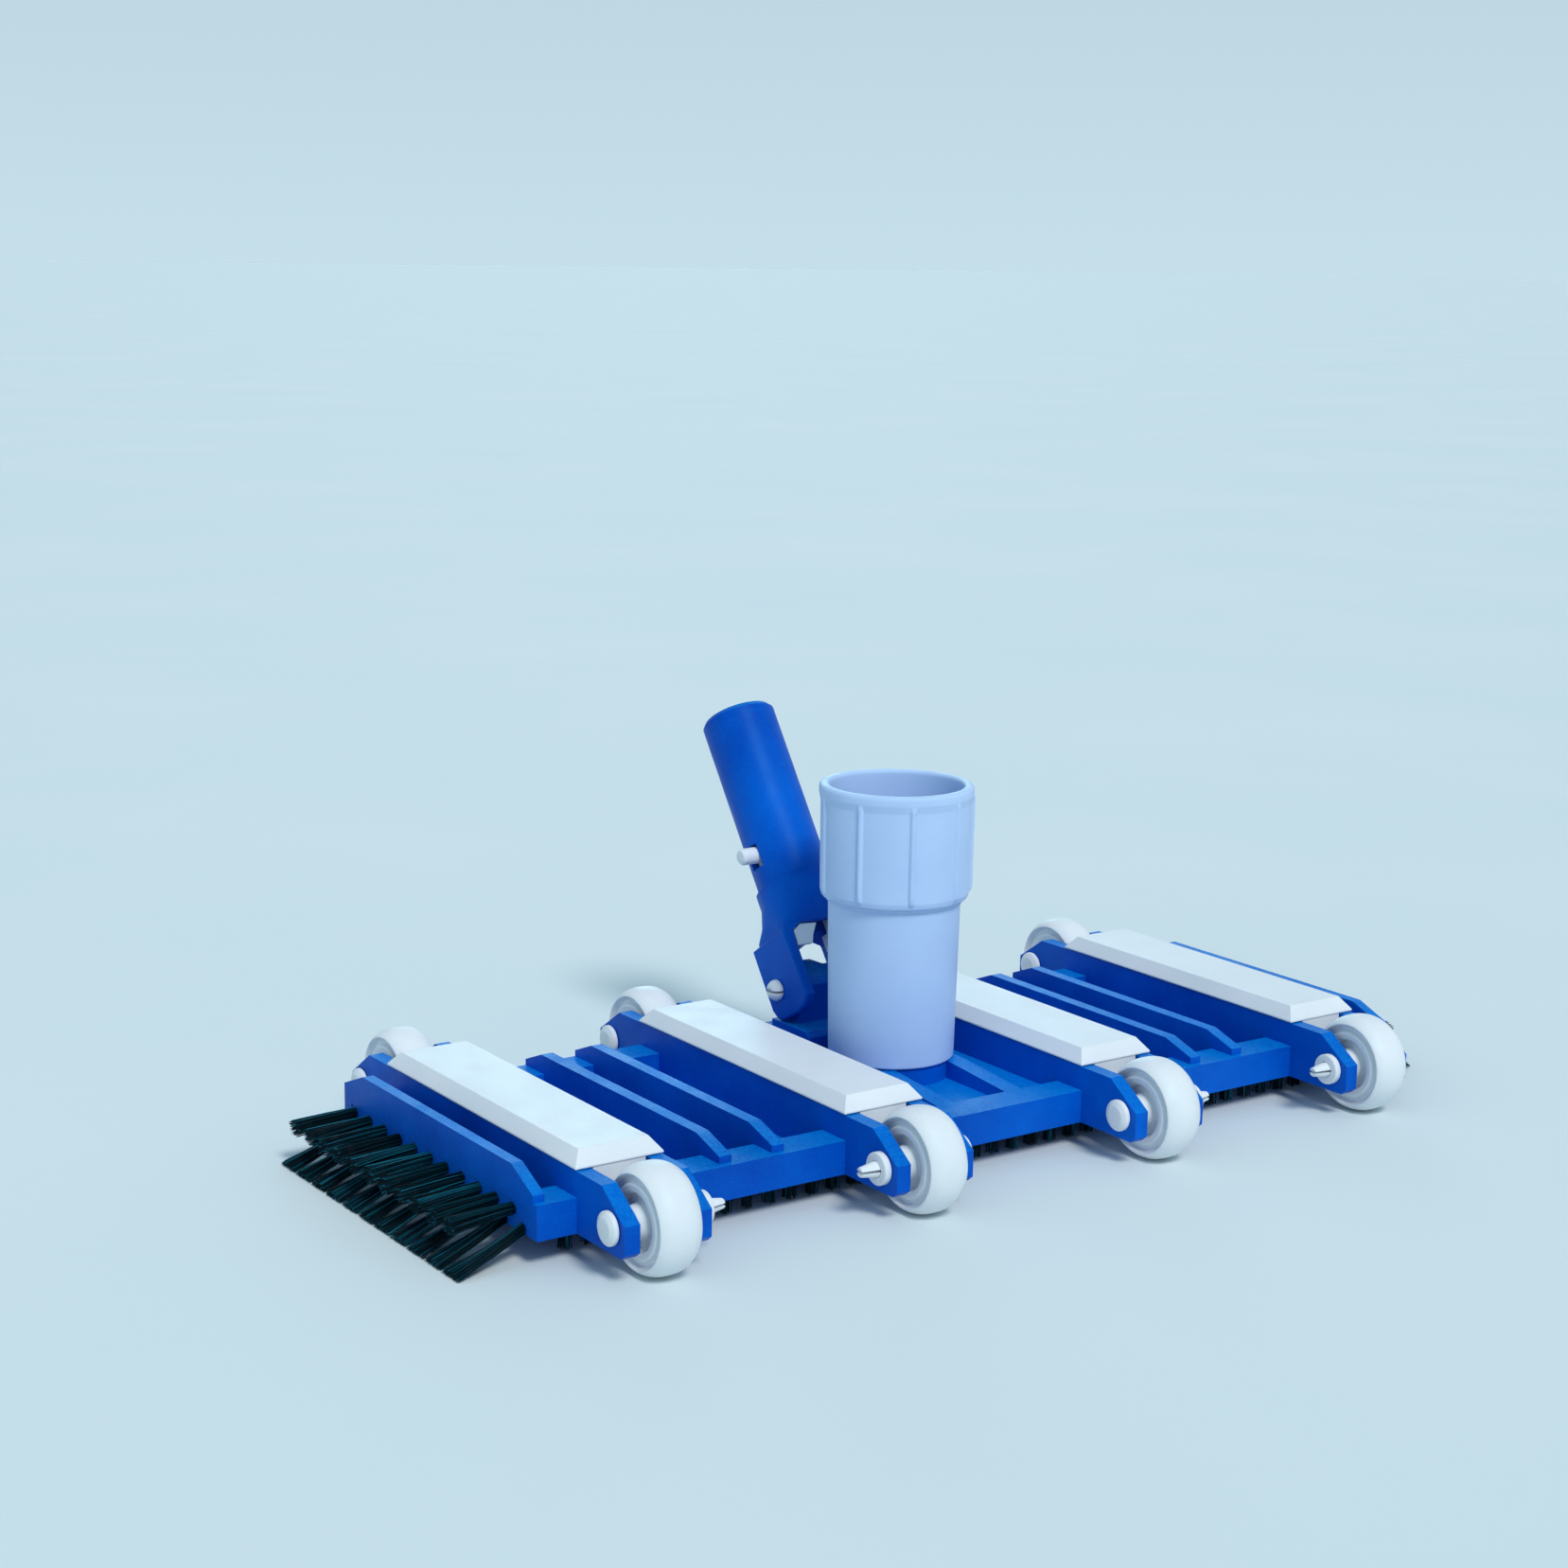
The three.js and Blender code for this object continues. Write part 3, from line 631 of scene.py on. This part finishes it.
# pivot pin with its split dome, turned about X
pivot = {
    "profile": [
        (0, -21.1), (2.6, -20.5), (3.9, -18.6), (3.9, -17.3), (3.3, -17.3), (3.3, 17.3), (6, 17.3),
        (6, 18.5), (5, 19.3), (0, 19.3),
    ],
    "soft": [0, 2.4, 2.4, 0.3, 0.1, 0.1, 0.2, 0.5, 0.5, 0],
    "sides": 64,
    "slot": 1.0,
    "slotSpan": (-23, -8),
    "slotReach": 6,
}
pivotMiddle = nodeMiddle("pivot_pin") * [0, 1, 1]
pivotProfile = roundedProfile(pivot["profile"], pivot["soft"], 7)
pivotMesh = turnedMesh("pivot", pivotProfile, "x", pivotMiddle, pivot["sides"])
pivotPiece = addPiece("pivot_pin_turned", pivotMesh, "pivot_pin")
cutSlot(pivotPiece, pivotMiddle, pivot["slotSpan"], pivot)
print("pivot pin turned")


# brushes
strandTaper = 0.25  # share of its thickness that a strand loses towards the tip


def strandMesh(name, roots, middles, tips, thickness, rings):
    # Each strand follows a quadratic curve; a triangle is carried along it and closed at both ends.
    count = len(roots)
    t = np.linspace(0, 1, rings)[None, :, None]
    path = (1 - t) ** 2 * roots[:, None] + 2 * t * (1 - t) * middles[:, None] + t**2 * tips[:, None]
    along = np.gradient(path, axis=1)
    along /= np.linalg.norm(along, axis=2, keepdims=True)
    notAlong = np.array([0.13, 0.97, 0.21])  # no strand points this way
    side = np.cross(along, notAlong)
    side /= np.linalg.norm(side, axis=2, keepdims=True)
    other = np.cross(along, side)
    turn = rng.uniform(0, 2 * math.pi, (count, 1, 1))
    reach = thickness * (1 - strandTaper * t)
    corners = []
    for corner in range(3):
        angle = turn + corner * 2 * math.pi / 3
        corners.append(path + reach * (np.cos(angle) * side + np.sin(angle) * other))
    points = np.stack(corners, 2)  # strand, ring, corner, xyz
    base = np.arange(count)[:, None, None] * rings * 3 + np.arange(rings - 1)[None, :, None] * 3
    corner = np.arange(3)[None, None, :]
    after = (corner + 1) % 3
    quads = np.stack([base + corner, base + after, base + 3 + after, base + 3 + corner], -1)
    first = np.arange(count)[:, None] * rings * 3
    ends = np.vstack([first + [2, 1, 0], first + (rings - 1) * 3 + [0, 1, 2]])
    mesh = meshOf(name, points.reshape(-1, 3), quads.reshape(-1, 4).tolist() + ends.tolist())
    # A random value per strand; the nylon paints the highest values pale as highlights.
    shade = np.repeat(rng.uniform(0, 1, count), rings * 3)
    mesh.attributes.new("strand", "FLOAT", "POINT").data.foreach_set("value", shade)
    mesh.shade_smooth()
    return mesh


def scatter(count, radius):
    # Spread over a disc, denser towards its edge: reach = radius * u^0.4, u even from 0 to 1.
    angle = rng.uniform(0, 2 * math.pi, count)
    reach = radius * rng.uniform(0, 1, count) ** 0.4
    return np.stack([reach * np.cos(angle), reach * np.sin(angle)], -1)


holderEdge = 0.0002


def makeHolder(node, low, high):
    # The blue strip that holds the tufts, from corner to corner in millimetres.
    corners = np.minimum(low, high) * mm + origin, np.maximum(low, high) * mm + origin
    mesh = cuboid(node + "_holder", *corners)
    roundEdges(addPiece(node + "_holder", mesh, node, hides=False, slot="blue"), holderEdge)


sideBrush = {
    "wall": 179,  # end wall from the middle
    "starts": {"left": 60.5, "right": 53},  # first tuft of a row
    "tufts": 11,
    "strands": 170,
    "upperRow": {
        "to": -48, "root": 15, "tip": 13.2, "length": 22, "fan": (2.1, 1.3), "droop": -0.3,
    },
    "lowerRow": {
        "to": -54, "root": 10.6, "tip": 0.3, "length": 24.6, "fan": (2.55, 0.7), "droop": 1.2,
    },
    "rootRadius": 2.1,
    "rootTall": 0.9,
    "rootDepth": 0.6,
    "flare": 0.25,
    "wild": (0.15, 0.12, 0.12),
    "uneven": (-0.4, 0.2),
    "lowest": 0.1,
    "thickness": 0.15,
    "rings": 5,
    "holder": ((-178.9, -57, 8.8), (-177.3, 63, 17.1)),
}


def tuftRow(row, start):
    # Roots in holes along the wall, tips fanned out; droop lowers the middle of each strand,
    # and flare is the share of the fan's width that is reached there.
    ys = np.repeat(np.linspace(start, row["to"], sideBrush["tufts"]), sideBrush["strands"])
    root = scatter(len(ys), sideBrush["rootRadius"])
    wild = rng.normal(0, 1, (len(ys), 3)) * sideBrush["wild"]
    out = row["length"] + rng.uniform(*sideBrush["uneven"], len(ys))
    rootHeights = row["root"] + root[:, 1] * sideBrush["rootTall"]
    roots = np.stack([np.full(len(ys), sideBrush["rootDepth"]), ys + root[:, 0], rootHeights], -1)
    wide, tall = row["fan"]
    tips = np.stack([-out, ys + root[:, 0] * wide, row["tip"] + root[:, 1] * tall], -1) + wild
    middles = (roots + tips) / 2
    middles[:, 1] = roots[:, 1] + (tips - roots)[:, 1] * sideBrush["flare"]
    middles[:, 2] -= row["droop"]
    for points in (tips, middles):
        points[:, 2] = np.maximum(points[:, 2], sideBrush["lowest"])
    return roots, middles, tips


def makeSideBrush(end, side):
    # The right holder is the left one turned half round, but its rows are mirrored.
    node = "side_brush_" + end
    start = sideBrush["starts"][end]
    rows = [tuftRow(sideBrush[row], start) for row in ("upperRow", "lowerRow")]
    shift = np.array([side * sideBrush["wall"], 0, 0])
    curves = [(np.vstack(parts) * [-side, 1, 1] + shift) * mm + origin for parts in zip(*rows)]
    mesh = strandMesh(node, *curves, sideBrush["thickness"] * mm, sideBrush["rings"])
    addPiece(node + "_strands", mesh, node)
    low, high = np.array(sideBrush["holder"]) * [-side, -side, 1]
    makeHolder(node, low, high)


makeSideBrush("left", -1)
makeSideBrush("right", 1)

floorBrush = {
    "tufts": 40,
    "pitch": 8.4,
    "rowY": 53,
    "strands": 60,
    "size": (1.7, 1.6),  # half of a tuft's root
    "flare": 1.12,
    "wild": 0.06,
    "uneven": 0.1,
    "root": 7.8,  # heights over the floor
    "tip": 0.8,
    "thickness": 0.17,
    "rings": 3,
    "holderHalf": (170, 3.5),
    "holderHeights": (7, 8.5),
}


def makeFloorBrush(end, side):
    # One row of upright tufts along X, each strand straight from its root to its tip.
    node = "floor_brush_" + end
    tufts = np.arange(floorBrush["tufts"]) - (floorBrush["tufts"] - 1) / 2
    xs = np.repeat(tufts * floorBrush["pitch"], floorBrush["strands"])
    y = side * floorBrush["rowY"]
    root = rng.uniform(-1, 1, (len(xs), 2)) * floorBrush["size"]
    tip = root * floorBrush["flare"] + rng.normal(0, floorBrush["wild"], root.shape)
    uneven = floorBrush["uneven"]
    heights = floorBrush["tip"] + rng.uniform(-uneven, uneven, len(xs))
    roots = np.stack([xs + root[:, 0], y + root[:, 1], np.full(len(xs), floorBrush["root"])], -1)
    tips = np.stack([xs + tip[:, 0], y + tip[:, 1], heights], -1)
    curves = [points * mm + origin for points in (roots, (roots + tips) / 2, tips)]
    mesh = strandMesh(node, *curves, floorBrush["thickness"] * mm, floorBrush["rings"])
    addPiece(node + "_strands", mesh, node)
    halfLength, halfWidth = floorBrush["holderHalf"]
    bottom, top = floorBrush["holderHeights"]
    makeHolder(node, [-halfLength, y - halfWidth, bottom], [halfLength, y + halfWidth, top])


makeFloorBrush("front", -1)
makeFloorBrush("rear", 1)
print("brushes made")


# studio
studio = {
    "floorHalf": 40,
    "floor": ((0.67, 0.77, 0.79, 1), (0.745, 0.81, 0.82, 1)),
    "floorCloud": 3,
    "floorRough": 0.8,
    "floorShine": 0.05,
    "wall": (0.66, 0.865, 0.97, 1),
    "ceiling": (0.36, 0.5, 0.61, 1),
    "wallHeight": 0.5,
    "wallStrength": 0.85,
    "aim": (0, 0, 0.04),
    "lamps": [
        # name, kind, where it shines from, size in metres or spread in degrees, strength, colour
        ("key", "SUN", (-0.15, -1.1, 1.3), 16, 1.9, (0.98, 0.98, 0.97)),
        ("fill", "AREA", (-1.2, -0.3, 0.8), 1.1, 0.5, (0.5, 0.8, 1)),
        ("rim", "SUN", (0.7, 1.1, 0.4), 20, 0.3, (0.5, 0.88, 1)),
    ],
}


def layFloor():
    half = studio["floorHalf"]
    points = [(-half, -half, 0), (half, -half, 0), (half, half, 0), (-half, half, 0)]
    floor = bpy.data.objects.new("floor", meshOf("floor", points, [(0, 1, 2, 3)]))
    bpy.context.scene.collection.objects.link(floor)
    owner = bpy.data.materials.new("floorPaint")
    fixed = {"Roughness": studio["floorRough"], "Specular_IOR_Level": studio["floorShine"]}
    paint = Finish(owner, **fixed)
    cloud = paint.noise(paint.coordinates(), studio["floorCloud"])
    paint.feed("Base Color", paint.mix(cloud, *studio["floor"]))
    floor.data.materials.append(paint.material)


def paintWorld():
    # The walls of the studio are bright near the floor and darker overhead.
    world = bpy.data.worlds.new("studio")
    bpy.context.scene.world = world
    walls = Finish(world, "Background", Strength=studio["wallStrength"])
    height = walls.height(walls.coordinates("Generated"))
    fade = walls.ramp(height, 0, studio["wallHeight"])
    walls.feed("Color", walls.mix(fade, studio["wall"], studio["ceiling"]))


def hangLamp(name, kind, place, spread, strength, colour):
    data = bpy.data.lights.new(name, kind)
    data.energy = strength
    data.color = colour
    if kind == "SUN":
        data.angle = math.radians(spread)
    else:
        data.size = spread
    lamp = bpy.data.objects.new(name, data)
    bpy.context.scene.collection.objects.link(lamp)
    lamp.location = place
    aim = np.array(studio["aim"]) - np.array(place)
    tilt = math.acos(-aim[2] / np.linalg.norm(aim))
    lamp.rotation_euler = (tilt, 0, math.atan2(aim[1], aim[0]) - math.pi / 2)


placeCamera()
layFloor()
paintWorld()
for lamp in studio["lamps"]:
    hangLamp(*lamp)
bpy.context.scene.view_settings.view_transform = "Standard"
print("studio built")
